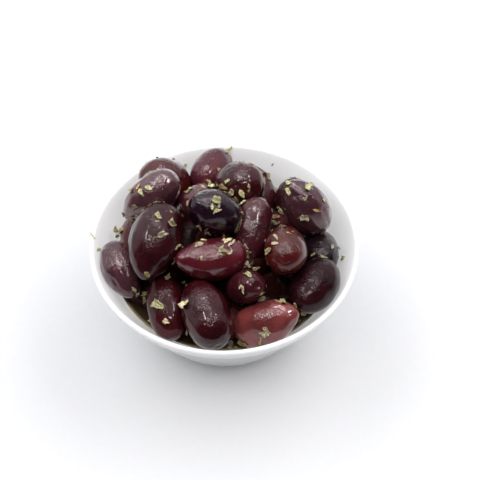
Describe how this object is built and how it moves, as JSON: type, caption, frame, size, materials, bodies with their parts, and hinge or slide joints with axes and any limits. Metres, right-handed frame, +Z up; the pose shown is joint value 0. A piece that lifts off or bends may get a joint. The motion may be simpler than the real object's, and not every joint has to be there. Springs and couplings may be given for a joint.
{
  "type": "dish of olives",
  "caption": "Small white porcelain bowl heaped with dark table olives in a little oil, with dried herb flakes scattered over them.",
  "frame": {"origin": "on the table under the middle of the bowl", "axes": "+Z up, +X to the right and -Y toward the front of the dish as it is served"},
  "size_m": [0.1, 0.1, 0.0629],
  "materials": {
    "porcelain": "glossy white glaze",
    "olive_skin": "oiled dark maroon skin",
    "oil": "wet golden brown liquid"
  },
  "bodies": {
    "root": {"bowl": "porcelain", "olives": "olive_skin", "oil": "oil"}
  },
  "joints": []
}
